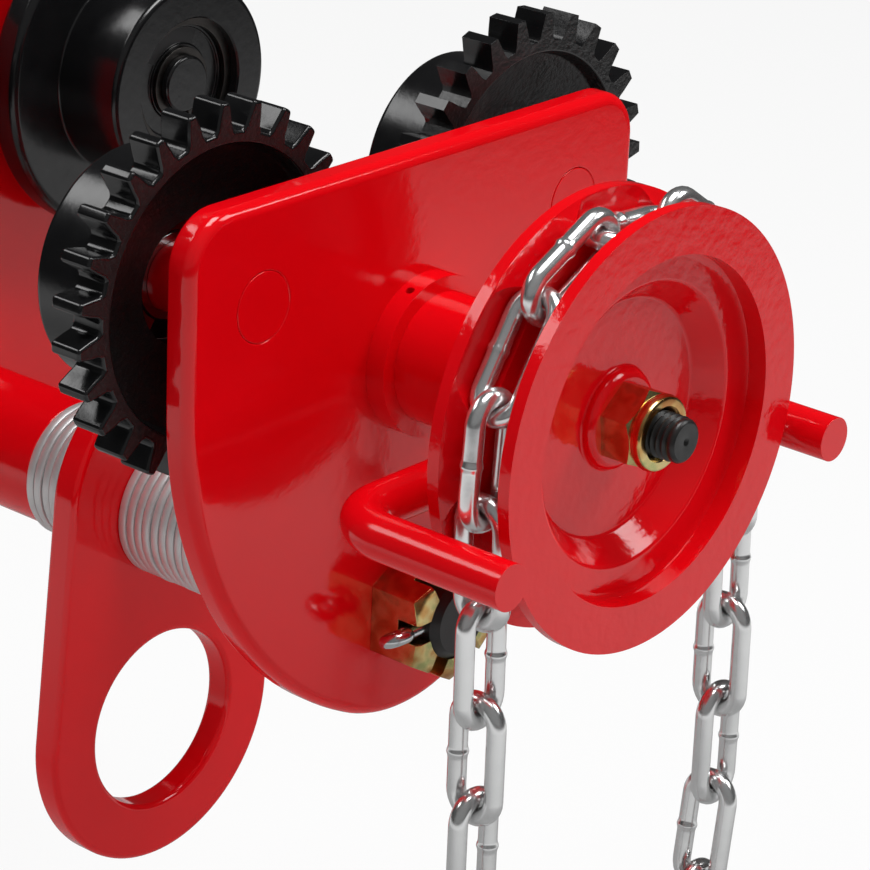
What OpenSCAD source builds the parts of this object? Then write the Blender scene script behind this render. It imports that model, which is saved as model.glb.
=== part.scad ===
// Geared beam trolley. It rolls on the lower flange of a beam and carries a hoist.
// X runs along the beam, Y across it, Z up. The origin lies between the side plates,
// half way between the wheels, in the plane that the wheels roll on.
// A "reach" is a distance from the middle of the beam, measured across it.

/* [Beam] */
// Width of the beam flange that the trolley is set for
beam_flange_w = 135; // [125:1:150]
// Play between each edge of the beam flange and the wheel flange beside it
flange_play = 3.2; // [2:0.1:5]

/* [Wheels] */
// Distance between the wheel axles
wheel_base = 121; // [118:0.5:124]
// Radius of the tread
tread_r = 31; // [29:0.5:32]
// Width of the tread
tread_w = 23.2; // [21:0.2:26]
// Thickness of the toothed and of the plain wheel flange
wheel_flange_t = 10; // [8:0.5:12]
// Radius of the plain wheel flange
plain_flange_r = 49; // [44:0.5:50]
// Outer radius of the rough cast hollow in the wheel's outer face
hollow_r = 37.8; // [35:0.2:38.4]
// Inner radius of the hollow's floor
hollow_floor_r = 22; // [20.5:0.5:26]
// Depth of the hollow
hollow_depth = 10.7; // [8:0.1:11]

/* [Wheel bearings] */
// Outer diameter of a wheel bearing
bearing_od = 40; // [38:1:42]
// Bore of a wheel bearing, which is the diameter of the axle's seat
bearing_id = 17; // [15:0.5:17.5]
// Width of a wheel bearing
bearing_w = 12; // [11:0.5:13]
// Depth of the bearing below the wheel's inner end face
bearing_depth = 4.9; // [4.5:0.1:5.5]
// Thickness of the snap ring that holds the bearing in the wheel
bore_ring_t = 1.75; // [1.5:0.05:2]
// Thickness of the snap ring on the axle
axle_ring_t = 1; // [0.8:0.1:1.3]
// Diameter of the wheel axle between the bearing and the side plate
axle_d = 18.4; // [18:0.1:20]
// Diameter of the collar on the axle beside the plate
axle_collar_d = 25; // [23:0.5:26]
// Thickness of that collar
axle_collar_t = 3.5; // [3:0.1:4.5]

/* [Gears] */
// Module of the wheel teeth and of the pinion
gear_module = 3.4; // [3.35:0.01:3.45]
// Direction of one tooth of the left wheel, in degrees up from the beam
gear_phase = 5.6; // [0:0.1:13.8]
// Diameter of the pinion's hub
pinion_hub_d = 30; // [28:0.5:32]

/* [Side plates] */
// Thickness of a side plate
plate_t = 8; // [6:0.5:10]
// Gap between a wheel's outer face and the side plate
plate_gap = 6.8; // [6:0.1:9]
// Width of a side plate
plate_w = 172.6; // [168:0.2:180]
// Height of a side plate's top edge over the tread plane
plate_top = 58.3; // [55:0.1:62]
// Depth of a side plate's bottom edge under the tread plane
plate_drop = 99; // [94:0.5:106]
// Radius of a side plate's two upper corners
plate_corner_r = 14; // [10:0.5:18]
// Radius of the long arcs that a side plate's flanks run down in
plate_flank_r = 114; // [105:0.5:122]
// Radius of a side plate's bottom edge
plate_bottom_r = 50.5; // [45:0.5:57]

/* [Drive tube and shaft] */
// Outer diameter of the drive tube
tube_d = 35.2; // [33:0.2:38]
// Wall of the drive tube
tube_wall = 3.6; // [3:0.1:4]
// Length of the drive tube outside the side plate
tube_len = 48.5; // [44:0.5:56]
// Diameter of the collar welded round the tube at the plate
tube_collar_d = 43.4; // [41:0.2:46]
// Thickness of that collar
tube_collar_t = 6; // [4:0.5:8]
// Diameter of the oil hole in the collar and the tube
oil_hole_d = 2.4; // [2:0.2:4]
// Diameter of the drive shaft
shaft_d = 20; // [19:0.5:21]
// Length of each shaft bush
bush_len = 16; // [12:1:20]
// Diameter of the shaft where it carries the hand chain wheel
shaft_seat_d = 16; // [15:0.5:17]
// Distance between the two flats of that seat
shaft_flats_w = 13; // [12.5:0.5:14]
// Thread diameter of the shaft's outer end
stud_d = 12; // [11:0.5:12.5]
// Length of the thread beyond the hand chain wheel's hub
stud_len = 19.1; // [17:0.1:22]
// Width across the flats of the lock nut
lock_nut_af = 19; // [18:0.5:20]
// Height of the lock nut's hexagon
lock_nut_h = 8.8; // [8:0.1:10]
// Diameter of the lock nut's round collar
lock_nut_collar_d = 20; // [18:0.2:20.6]
// Height of that collar
lock_nut_collar_h = 3.4; // [3:0.1:4.5]

/* [Hand chain] */
// Thickness of the hand chain's wire
wire_d = 5; // [4.8:0.1:5]
// Inside length of a link
link_pitch = 26.8; // [26.4:0.1:27]
// Outside width of a link
link_w = 17; // [16.8:0.1:17.4]
// Play between two links
link_play = 0.1; // [0.05:0.05:0.2]
// Pairs of links in each hanging strand
strand_pairs = 3; // [3:1:5]

/* [Hand chain wheel] */
// Number of pockets for flat lying links
pockets = 6; // [6:1:6]
// Direction of the first pocket, in degrees up from the beam
pocket_phase = 26.4; // [24:0.2:29]
// Diameter over the rim
chain_wheel_d = 115; // [113:0.5:118]
// Width over the rim
chain_wheel_w = 25.3; // [24.8:0.1:27]
// Radius of the front opening of the dish
dish_r = 45.2; // [44:0.2:45.4]
// Thickness of the web
web_t = 6.5; // [5.5:0.1:7]
// Diameter of the hub's outer end
hub_d = 26.6; // [25:0.2:29]
// Room between a lying link and the sides of its pocket
pocket_play = 0.5; // [0.4:0.05:0.6]

/* [Chain guide] */
// Diameter of the guide's round bar
guide_bar_d = 12; // [10:0.5:13]
// Distance between the middles of the guide's two arms
guide_w = 132; // [129:0.5:142]
// Depth of the guide's bar under the drive shaft's axis
guide_drop = 18; // [17:0.5:20]
// Distance of the guide's cross bar from the side plate
guide_stand_off = 32; // [29:0.5:34]
// Length of the arms, from the cross bar's middle to their ends
guide_arm = 53.8; // [48:0.2:60]
// Radius of the guide's bends, to the bar's middle
guide_bend_r = 14; // [12:0.5:18]

/* [Load shaft] */
// Depth of the load shaft under the tread plane
load_drop = 67.4; // [64:0.2:72]
// Diameter of the load shaft
load_shaft_d = 22; // [20:0.5:22.5]
// Width across the flats of a castle nut
castle_af = 32; // [31:0.5:34]
// Height of a castle nut
castle_h = 16.5; // [15:0.1:18]
// Depth of a castle nut's slots
castle_slot_depth = 7; // [6:0.1:7.5]
// Width of a castle nut's slots
castle_slot_w = 5.5; // [5.2:0.1:6]
// Length of the load shaft beyond a castle nut
load_shaft_proud = 1.5; // [1:0.1:3]
// Diameter of a cotter pin
cotter_d = 4; // [3.6:0.1:4.2]
// Outer diameter of an adjusting washer
washer_od = 40; // [38:0.5:42]
// Bore of an adjusting washer
washer_id = 23; // [22.8:0.1:24]
// Thickness of an adjusting washer
washer_t = 3.1; // [2.8:0.1:3.4]
// Number of washers at each side of the suspension plate
washers = 9; // [4:1:12]
// Outer diameter of a spacer tube
spacer_od = 38; // [34:0.5:40]

/* [Suspension plate] */
// Thickness of the suspension plate
suspension_t = 9; // [8:0.5:12]
// Depth of the eye under the load shaft
eye_drop = 68; // [64:0.5:74]
// Radius of the eye
eye_r = 26.8; // [24:0.2:29]
// Radius of the plate's outline round the eye
eye_outline_r = 43.5; // [40:0.5:48]
// Radius of the plate's outline round the load shaft
head_outline_r = 36.5; // [33:0.5:38]
// Height of the head's centre over the load shaft
head_rise = 4.4; // [3:0.2:6]

/* [Hidden] */
$fn = 96;
slip = 0.03;        // radial room of a fit
seat_gap = 0.1;     // room between faces that turn on each other
run_gap = 0.3;      // room between a turning hub and what stands beside it
through = 1;        // how far a cut runs past the face it opens

// Reaches
wheel_back = beam_flange_w / 2 + flange_play;
wheel_face = wheel_back + wheel_flange_t;
tread_end = wheel_back - tread_w;
plate_in = wheel_face + plate_gap;
plate_out = plate_in + plate_t;
bearing_in = tread_end + bearing_depth;
bearing_out = bearing_in + bearing_w;
hollow_floor = wheel_face - hollow_depth;
tube_end = plate_out + tube_len;
hub_back = tube_end + run_gap;
hub_back_proud = 2.8;
rim_mid = hub_back + hub_back_proud + chain_wheel_w / 2;
castle_end = plate_out + castle_h;
load_shaft_end = castle_end + load_shaft_proud;
stack_end = suspension_t / 2 + washers * washer_t;

// Wheels and gears
wheel_x = wheel_base / 2;
wheel_z = tread_r;
wheel_teeth = 26;
pinion_teeth = 13;
gear_ratio = wheel_teeth / pinion_teeth;
gear_centres = gear_module * (wheel_teeth + pinion_teeth) / 2;
drive_z = wheel_z - sqrt(gear_centres * gear_centres - wheel_x * wheel_x);
mesh_dir = atan2(drive_z - wheel_z, wheel_x);
pinion_gap_dir = 180 + mesh_dir - gear_ratio * (gear_phase - mesh_dir);
pinion_phase = pinion_gap_dir + 180 / pinion_teeth;
right_phase = 180 - mesh_dir - (pinion_gap_dir + mesh_dir) / gear_ratio;
// Tooth shapes, root to tip: height over the pitch circle and tooth width, in modules
wheel_root = -1;
wheel_tooth = [[-0.65, 1.59], [0, 1.4], [1.2, 0.88]];
pinion_root = -1.4;
pinion_tooth = [[-1.15, 1.26], [-0.62, 1.14], [0.15, 1.38], [0.85, 0.94]];
root_fillet = 0.4;   // widening of a tooth at its root, in modules

// Wheel bearing and snap ring details
bearing_r = bearing_od / 2;
seat_r = bearing_id / 2;
ring_groove = 1.2;
inner_ring_wall = 3;
outer_ring_wall = 3.5;
seal_depth = 0.7;
snap_ring_gap = 36;
axle_tip = 1.8;

// Drive details
tube_r = tube_d / 2;
bush_r = tube_r - tube_wall;
shaft_r = shaft_d / 2;
shaft_end_gap = 2;
pinion_ring_t = 1.2;
key_w = 6;
key_h = 6;
key_depth = 3.5;
nut_hex_turn = 8;

// Hand chain wheel, measured from the middle of its rim
rim_r = chain_wheel_d / 2;
rim_half = chain_wheel_w / 2;
rim_land = 3.4;
dish_step = 2.2;
dish_step_depth = 5.4;
ledge_depth = 6.4;
ledge_r = 36.9;
web_r = 31.3;
web_front = -0.75;
hub_front = 2.35;
hub_back_r = 15;
back_dish_r = 41;
slot_half = wire_d / 2 + 0.7;
hub_face = rim_mid + hub_front;
hub_chamfer = 1.5;

// Hand chain. Its wires cross at pins: a lying link spans two pins with its end wires
// on them, and a standing link spans two pins with its end wires outside them.
bend_r = (link_w - wire_d) / 2;
lying_half = (link_pitch + wire_d) / 2;
standing_half = (link_pitch - wire_d) / 2 - link_play;
link_step = 180 / pockets;
pin_r = sqrt(lying_half * lying_half + standing_half * standing_half
             + 2 * lying_half * standing_half * cos(link_step)) / sin(link_step);
lying_r = sqrt(pin_r * pin_r - lying_half * lying_half);
standing_r = sqrt(pin_r * pin_r - standing_half * standing_half);
standing_turn = asin(standing_half / pin_r);
pocket_floor = lying_r - wire_d / 2 - 0.3;
slot_floor = standing_r - link_w / 2 - 0.7;
left_end = pocket_phase + 150;
right_end = pocket_phase - 30;
left_lean = 2.7;
right_lean = 5.1;
loop_shift = 3.1;

// Load shaft details
load_z = -load_drop;
load_r = load_shaft_d / 2;
load_chamfer = 2;
cotter_reach = castle_end - castle_slot_depth / 2;
cotter_r = cotter_d / 2;
eye_z = load_z - eye_drop;

// The whole trolley's pieces

// Mirrors a piece that is drawn for the far side (+1) to the near side (-1)
module on_side(side) mirror([0, side < 0 ? 1 : 0, 0]) children();

// Extrudes an outline drawn in X and Z across the beam, between two reaches
module across(from, to) translate([0, to, 0]) rotate([90, 0, 0]) linear_extrude(to - from) children();

// Turns a profile of [radius, reach] points about an axis across the beam
module turned(profile) rotate([-90, 0, 0]) rotate_extrude() polygon(profile);

// A round bar or bore across the beam
module round_bar(r, from, to) turned([[0, from], [r, from], [r, to], [0, to]]);

// A tube across the beam
module round_tube(r_in, r_out, from, to)
    turned([[r_in, from], [r_out, from], [r_out, to], [r_in, to]]);

// Moves a piece to the drive shaft's axis, to a wheel's axis or to the load shaft's axis
module at_drive() translate([0, 0, drive_z]) children();
module at_wheel(end) translate([end * wheel_x, 0, wheel_z]) children();
module at_load() translate([0, 0, load_z]) children();

// Both ends of a line that touches two circles from outside, each circle as [x, y, r],
// with the circles taken anticlockwise. The line lies a hair inside, so it meets each
// circle at one clear point.
hair = 0.01;
function touch_dir(a, b) =
    let (run = norm([b[0] - a[0], b[1] - a[1]]))
    atan2(b[1] - a[1], b[0] - a[0]) - 90 + asin((a[2] - b[2]) / run);
function touch_line(a, b) =
    let (dir = touch_dir(a, b))
    [for (c = [a, b]) [c[0] + (c[2] - hair) * cos(dir), c[1] + (c[2] - hair) * sin(dir)]];

// The outline that a band drawn tight round the circles would have
module taut_outline(circles) {
    count = len(circles);
    polygon([for (i = [0:count - 1]) each touch_line(circles[i], circles[(i + 1) % count])]);
    for (c = circles) translate([c[0], c[1]]) circle(c[2]);
}

// Corners of a gear's outline, tooth by tooth
function tooth_point(pitch_r, dir, height, width) =
    let (r = pitch_r + height * gear_module)
    [r * cos(dir + asin(width * gear_module / 2 / r)), r * sin(dir + asin(width * gear_module / 2 / r))];
function gear_points(teeth, root, tooth, phase) =
    let (pitch_r = teeth * gear_module / 2, last = len(tooth) - 1,
         root_width = tooth[0][1] + root_fillet)
    [for (k = [0:teeth - 1]) let (dir = phase + k * 360 / teeth) each concat(
        [tooth_point(pitch_r, dir, root, -root_width)],
        [for (i = [0:last]) tooth_point(pitch_r, dir, tooth[i][0], -tooth[i][1])],
        [for (i = [last:-1:0]) tooth_point(pitch_r, dir, tooth[i][0], tooth[i][1])],
        [tooth_point(pitch_r, dir, root, root_width)])];

// A side plate's outline: straight flanks with rounded corners above, and below them two
// long arcs that run into the round foot. The foot lies a hair low, so it crosses the arcs.
module plate_outline() {
    corner_x = plate_w / 2 - plate_corner_r;
    corner_z = plate_top - plate_corner_r;
    flank_x = plate_flank_r - plate_w / 2;
    foot_z = plate_bottom_r - plate_drop;
    arc_run = plate_flank_r - plate_bottom_r;
    flank_z = foot_z + sqrt(arc_run * arc_run - flank_x * flank_x);
    touch_z = flank_z - (flank_z - foot_z) * plate_flank_r / arc_run;
    polygon([[-plate_w / 2, flank_z], [plate_w / 2, flank_z], [plate_w / 2 - hair, corner_z],
             [corner_x, plate_top - hair], [-corner_x, plate_top - hair],
             [hair - plate_w / 2, corner_z]]);
    for (end = [-1, 1]) translate([end * corner_x, corner_z]) circle(plate_corner_r);
    intersection() {
        translate([-flank_x, flank_z]) circle(plate_flank_r);
        translate([flank_x, flank_z]) circle(plate_flank_r);
        translate([-plate_w, touch_z]) square([2 * plate_w, flank_z - touch_z]);
    }
    translate([0, foot_z - hair]) circle(plate_bottom_r);
}

module side_plate(side) on_side(side) difference() {
    across(plate_in, plate_out) plate_outline();
    for (end = [-1, 1])
        at_wheel(end) round_bar(axle_d / 2 + slip, plate_in - through, plate_out + through);
    at_load() round_bar(load_r + slip, plate_in - through, plate_out + through);
    if (side < 0) at_drive() round_bar(tube_r + slip, plate_in - through, plate_out + through);
}

module near_side_plate() color("red") side_plate(-1);

module far_side_plate() color("red") side_plate(1);

// The oil hole runs down at a slant from the collar into the tube
module oil_hole(outer_r, reach)
    at_drive() translate([0, reach, 0]) rotate([0, -25, 0]) cylinder(h = outer_r + through, d = oil_hole_d);

module drive_tube_collar() color("red") on_side(-1) difference() {
    at_drive() round_tube(tube_r + slip, tube_collar_d / 2, plate_out, plate_out + tube_collar_t);
    oil_hole(tube_collar_d / 2, plate_out + tube_collar_t / 2);
}

module drive_tube() color("red") on_side(-1) difference() {
    at_drive() round_tube(bush_r, tube_r, plate_in, tube_end);
    oil_hole(tube_r, plate_out + tube_collar_t / 2);
}

module shaft_bushes() color("darkgoldenrod") on_side(-1) at_drive() {
    round_tube(shaft_r + slip, bush_r - slip, plate_in, plate_in + bush_len);
    round_tube(shaft_r + slip, bush_r - slip, tube_end - bush_len, tube_end);
}

// A round bar bent to a U, coped where it is welded under the drive tube
module chain_guide() color("firebrick") on_side(-1) difference() {
    bar_r = guide_bar_d / 2;
    base = plate_out + guide_stand_off;
    straight = guide_w / 2 - guide_bend_r;
    translate([0, 0, drive_z - guide_drop]) {
        translate([-straight, base, 0]) rotate([0, 90, 0]) cylinder(h = 2 * straight, r = bar_r);
        for (end = [-1, 1]) translate([end * straight, base + guide_bend_r, 0]) {
            rotate([0, 0, end > 0 ? -90 : 180]) rotate_extrude(angle = 90)
                translate([guide_bend_r, 0]) circle(bar_r, $fn = 48);
            translate([end * guide_bend_r, 0, 0]) rotate([-90, 0, 0])
                cylinder(h = guide_arm - guide_bend_r, r = bar_r);
        }
    }
    at_drive() round_bar(tube_r + slip, base - guide_bar_d, base + guide_bar_d);
}

module key_block(room) translate([-key_w / 2 - room, wheel_back, shaft_r - key_depth])
    cube([key_w + 2 * room, wheel_flange_t, key_h + room]);

// The shaft has a keyway for the pinion, a flatted seat for the hand chain wheel and a thread
module drive_shaft() color("dimgray") on_side(-1) at_drive() difference() {
    union() {
        turned([[0, wheel_back - shaft_end_gap], [shaft_r - 1, wheel_back - shaft_end_gap],
                [shaft_r, wheel_back - shaft_end_gap + 0.6], [shaft_r, hub_back], [0, hub_back]]);
        across(hub_back, hub_face - run_gap) intersection() {
            circle(shaft_seat_d / 2);
            square([shaft_seat_d + 1, shaft_flats_w], center = true);
        }
        turned([[0, hub_face - run_gap], [stud_d / 2, hub_face - run_gap],
                [stud_d / 2, hub_face + stud_len - 1], [stud_d / 2 - 1, hub_face + stud_len],
                [0, hub_face + stud_len]]);
    }
    key_block(slip);
    round_tube(shaft_r - 0.8, shaft_r + 1, wheel_back - seat_gap - pinion_ring_t, wheel_back - seat_gap);
}

// The pinion's hub is one piece with its teeth
module drive_pinion() color("dimgray") on_side(-1) at_drive() difference() {
    union() {
        across(wheel_back, wheel_face)
            polygon(gear_points(pinion_teeth, pinion_root, pinion_tooth, pinion_phase));
        round_bar(pinion_hub_d / 2, (wheel_back + wheel_face) / 2, plate_in - run_gap);
    }
    round_bar(shaft_r + slip, wheel_back - through, plate_in);
    translate([-key_w / 2 - slip, wheel_back - through, 0])
        cube([key_w + 2 * slip, wheel_flange_t + 2 * through, shaft_r - key_depth + key_h + 2 * slip]);
}

module pinion_key() color("gray") on_side(-1) at_drive() key_block(0);

// An open snap ring, round the Y axis
module snap_ring(r_in, r_out, from, to) translate([0, from, 0]) rotate([-90, 0, 0])
    rotate([0, 0, 90 + snap_ring_gap / 2]) rotate_extrude(angle = 360 - snap_ring_gap)
        translate([r_in, 0]) square([r_out - r_in, to - from]);

module pinion_snap_ring() color("dimgray") on_side(-1) at_drive()
    snap_ring(shaft_r - 0.8 + slip, shaft_r + 2.6, wheel_back - pinion_ring_t, wheel_back - 2 * seat_gap);

// The shape of a lying link seen from above it, grown on all sides
module link_outline(grow) {
    square([2 * (lying_half - bend_r), link_w + 2 * grow], center = true);
    for (end = [-1, 1]) translate([end * (lying_half - bend_r), 0]) circle(link_w / 2 + grow);
}

module hand_chain_wheel() color("red") on_side(-1) at_drive() difference() {
    translate([0, rim_mid, 0]) turned([
        [0, hub_back - rim_mid], [hub_back_r, hub_back - rim_mid], [hub_back_r, web_front - web_t],
        [back_dish_r, web_front - web_t], [dish_r, -rim_half], [rim_r, -rim_half],
        [rim_r, rim_land - rim_half], [pocket_floor, -slot_half], [slot_floor, -slot_half],
        [slot_floor, slot_half], [pocket_floor, slot_half], [rim_r, rim_half - rim_land],
        [rim_r, rim_half], [dish_r, rim_half], [dish_r, rim_half - dish_step_depth],
        [dish_r - dish_step, rim_half - ledge_depth], [ledge_r, rim_half - ledge_depth],
        [web_r, web_front], [hub_d / 2, web_front], [hub_d / 2, hub_front - hub_chamfer],
        [hub_d / 2 - hub_chamfer, hub_front], [0, hub_front]]);
    for (k = [0:pockets - 1]) rotate([0, -pocket_phase - k * 360 / pockets, 0])
        translate([pocket_floor, rim_mid, 0]) rotate([90, 0, 90]) rotate([0, 0, 90])
            linear_extrude(rim_r - pocket_floor + through) link_outline(pocket_play);
    across(hub_back - through, hub_face + through) intersection() {
        circle(shaft_seat_d / 2 + slip);
        square([shaft_seat_d + 1, shaft_flats_w + 2 * slip], center = true);
    }
}

module drive_lock_nut() color("goldenrod") on_side(-1) at_drive() difference() {
    union() {
        across(hub_face, hub_face + lock_nut_h)
            rotate(nut_hex_turn) circle(lock_nut_af / sqrt(3), $fn = 6);
        round_bar(lock_nut_collar_d / 2, hub_face + lock_nut_h, hub_face + lock_nut_h + lock_nut_collar_h);
    }
    round_bar(stud_d / 2 + slip, hub_face - through, hub_face + stud_len);
}

// Everything that is hollow in a wheel: the seat of its bearing with a groove for the snap
// ring, the shoulder behind the bearing, and the rough hollow in its outer face
module wheel_hollow() turned([
    [0, tread_end - through], [bearing_r + 0.5, tread_end - through], [bearing_r + 0.5, tread_end],
    [bearing_r, tread_end + 0.5], [bearing_r, bearing_in - bore_ring_t - seat_gap],
    [bearing_r + ring_groove, bearing_in - bore_ring_t - seat_gap],
    [bearing_r + ring_groove, bearing_in - seat_gap / 2], [bearing_r, bearing_in - seat_gap / 2],
    [bearing_r, bearing_out], [bearing_r - outer_ring_wall, bearing_out],
    [bearing_r - outer_ring_wall, hollow_floor], [hollow_floor_r, hollow_floor],
    [hollow_r - 1.3, wheel_face - 0.4 * hollow_depth], [hollow_r, wheel_face],
    [hollow_r, wheel_face + through], [0, wheel_face + through]]);

module wheel_tread() turned([
    [0, tread_end], [tread_r - 1, tread_end], [tread_r, tread_end + 1],
    [tread_r, wheel_face], [0, wheel_face]]);

module geared_wheel(end, phase) on_side(-1) at_wheel(end) difference() {
    union() {
        wheel_tread();
        across(wheel_back, wheel_face)
            polygon(gear_points(wheel_teeth, wheel_root, wheel_tooth, phase));
    }
    wheel_hollow();
}

module plain_wheel(end) at_wheel(end) difference() {
    union() {
        wheel_tread();
        turned([[0, wheel_back], [plain_flange_r - 1.5, wheel_back],
                [plain_flange_r, wheel_back + 1.5], [plain_flange_r, wheel_face - 1.5],
                [plain_flange_r - 1.5, wheel_face], [0, wheel_face]]);
    }
    wheel_hollow();
}

module geared_wheel_left() color("darkslategray") geared_wheel(-1, gear_phase);

module geared_wheel_right() color("darkslategray") geared_wheel(1, right_phase);

module plain_wheel_left() color("darkslategray") plain_wheel(-1);

module plain_wheel_right() color("darkslategray") plain_wheel(1);

module bore_ring(side, end) color("gray") on_side(side) at_wheel(end)
    snap_ring(bearing_r - 2.6, bearing_r + ring_groove - slip,
              bearing_in - bore_ring_t - seat_gap / 2, bearing_in - seat_gap);

// A wheel axle is riveted into the side plate, with a collar inside it and a seat for the bearing
module wheel_axles() color("firebrick") for (side = [-1, 1], end = [-1, 1])
    on_side(side) at_wheel(end) difference() {
        turned([[0, bearing_in - bore_ring_t - axle_tip], [seat_r - 0.6, bearing_in - bore_ring_t - axle_tip],
                [seat_r, bearing_in - bore_ring_t - axle_tip + 0.6], [seat_r, bearing_out],
                [axle_d / 2, bearing_out], [axle_d / 2, plate_in - axle_collar_t],
                [axle_collar_d / 2, plate_in - axle_collar_t], [axle_collar_d / 2, plate_in],
                [axle_d / 2, plate_in], [axle_d / 2, plate_out], [0, plate_out]]);
        round_tube(seat_r - 0.6, seat_r + 1, bearing_in - axle_ring_t - seat_gap, bearing_in);
    }

module wheel_bearings() color("silver") for (side = [-1, 1], end = [-1, 1])
    on_side(side) at_wheel(end) turned([
        [seat_r + slip, bearing_in], [seat_r + inner_ring_wall, bearing_in],
        [seat_r + inner_ring_wall, bearing_in + seal_depth],
        [bearing_r - outer_ring_wall, bearing_in + seal_depth], [bearing_r - outer_ring_wall, bearing_in],
        [bearing_r - slip, bearing_in], [bearing_r - slip, bearing_out],
        [bearing_r - outer_ring_wall, bearing_out], [bearing_r - outer_ring_wall, bearing_out - seal_depth],
        [seat_r + inner_ring_wall, bearing_out - seal_depth], [seat_r + inner_ring_wall, bearing_out],
        [seat_r + slip, bearing_out]]);

module axle_snap_rings() color("dimgray") for (side = [-1, 1], end = [-1, 1])
    on_side(side) at_wheel(end)
        snap_ring(seat_r - 0.6 + slip, seat_r + 2.2, bearing_in - axle_ring_t - seat_gap / 2,
                  bearing_in - seat_gap / 2);

module load_shaft() color("dimgray") at_load() difference() {
    turned([[0, -load_shaft_end], [load_r - load_chamfer, -load_shaft_end],
            [load_r, load_chamfer - load_shaft_end], [load_r, load_shaft_end - load_chamfer],
            [load_r - load_chamfer, load_shaft_end], [0, load_shaft_end]]);
    for (side = [-1, 1]) translate([-load_shaft_d, side * cotter_reach, 0]) rotate([0, 90, 0])
        cylinder(h = 2 * load_shaft_d, r = cotter_r + slip);
}

// A castle nut: a hexagon with a bevelled crown, slotted from its outer end
module castle_nut(side) on_side(side) at_load() {
    crown_r = castle_af / 2 - 1;
    slot_floor_reach = castle_end - castle_slot_depth;
    difference() {
        intersection() {
            across(plate_out, castle_end) rotate(30) circle(castle_af / sqrt(3), $fn = 6);
            turned([[0, plate_out], [castle_af, plate_out], [castle_af, slot_floor_reach - 2],
                    [crown_r, castle_end], [0, castle_end]]);
        }
        round_bar(load_r + slip, plate_out - through, castle_end + through);
        for (k = [0:2]) rotate([0, 60 * k, 0])
            translate([-castle_af, slot_floor_reach, -castle_slot_w / 2])
                cube([2 * castle_af, castle_slot_depth + through, castle_slot_w]);
    }
}

module castle_nuts() color("goldenrod") for (side = [-1, 1]) castle_nut(side);

// A split pin: a shank through nut and shaft, a turned eye at its left, its legs at its right
module cotter_pins() color("gainsboro") for (side = [-1, 1])
    on_side(side) at_load() translate([0, cotter_reach, 0]) {
        eye_turn = 27;
        eye_r_mid = 0.75 * cotter_d;
        legs = 1.25 * cotter_d;
        shank = castle_af / 2 + 1.5;
        translate([-shank, 0, 0]) rotate([0, 90, 0]) cylinder(h = 2 * shank + legs, r = cotter_r, $fn = 48);
        translate([-shank - eye_r_mid, 0, 0]) rotate([eye_turn, 0, 0]) rotate_extrude()
            translate([eye_r_mid, 0]) circle(cotter_r * 0.9, $fn = 48);
    }

// A broad plate that hangs on the load shaft and holds the hoist's hook in its eye
module suspension_plate() color("red") difference() {
    across(-suspension_t / 2, suspension_t / 2) taut_outline([
        [0, load_z + head_rise, head_outline_r], [0, eye_z, eye_outline_r]]);
    at_load() round_bar(load_r + 2 * slip, -suspension_t, suspension_t);
    translate([0, 0, eye_z]) round_bar(eye_r, -suspension_t, suspension_t);
}

module washer_stack(side) on_side(side) at_load() for (k = [0:washers - 1])
    translate([0, suspension_t / 2 + seat_gap + k * washer_t, 0])
        round_tube(washer_id / 2, washer_od / 2, 0, washer_t - seat_gap / 2);

module near_washer_stack() color("silver") washer_stack(-1);

module far_washer_stack() color("silver") washer_stack(1);

module spacer_tube(side) on_side(side) at_load()
    round_tube(washer_id / 2, spacer_od / 2, stack_end + seat_gap, plate_in);

module near_spacer_tube() color("firebrick") spacer_tube(-1);

module far_spacer_tube() color("firebrick") spacer_tube(1);

// One link along X. It lies in the X and Y directions and is turned by its caller.
module link() {
    straight = lying_half - bend_r;
    for (side = [-1, 1]) translate([-straight, side * bend_r, 0]) rotate([0, 90, 0])
        cylinder(h = 2 * straight, r = wire_d / 2, $fn = 48);
    for (end = [-1, 1]) translate([end * straight, 0, 0]) rotate([0, 0, end > 0 ? -90 : 90])
        rotate_extrude(angle = 180) translate([bend_r, 0]) circle(wire_d / 2, $fn = 48);
}

// A link on the chain's line, at a point [x, z] of the rim's plane, pointing along a direction
module placed_link(at, dir, lying) on_side(-1) translate([at[0], rim_mid, drive_z + at[1]])
    rotate([0, -dir, 0]) rotate([lying ? 0 : 90, 0, 0]) link();

// Links between one pin of the chain and the next
module linked(pins, first_lying) for (i = [0:len(pins) - 2]) {
    span = pins[i + 1] - pins[i];
    placed_link((pins[i] + pins[i + 1]) / 2, atan2(span[1], span[0]), (i % 2 == 0) == first_lying);
}

function polar(r, dir) = [r * cos(dir), r * sin(dir)];

// Pins of a hanging strand, from its pin on the wheel down: the lean fades from link to link,
// and the last pair leans to the loop's width
function strand_span(i) = 2 * (i % 2 == 0 ? lying_half : standing_half);
function lean_at(i, lean) = lean * pow(0.5, i);
function hang(pin, i, lean) =
    pin + strand_span(i) * [sin(lean_at(i, lean)), -cos(lean_at(i, lean))];
function hanging_pins(pin, lean, i = 0) =
    i == 2 * strand_pairs - 2 ? [pin] : concat([pin], hanging_pins(hang(pin, i, lean), lean, i + 1));
function closing_pins(pin, x) =
    let (lean = asin((x - pin[0]) / (strand_span(0) + strand_span(1))))
    [for (run = [strand_span(0), strand_span(0) + strand_span(1)]) pin + run * [sin(lean), -cos(lean)]];
function strand_pins(start, lean, x) =
    let (pins = hanging_pins(start, lean)) concat(pins, closing_pins(pins[len(pins) - 1], x));

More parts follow.
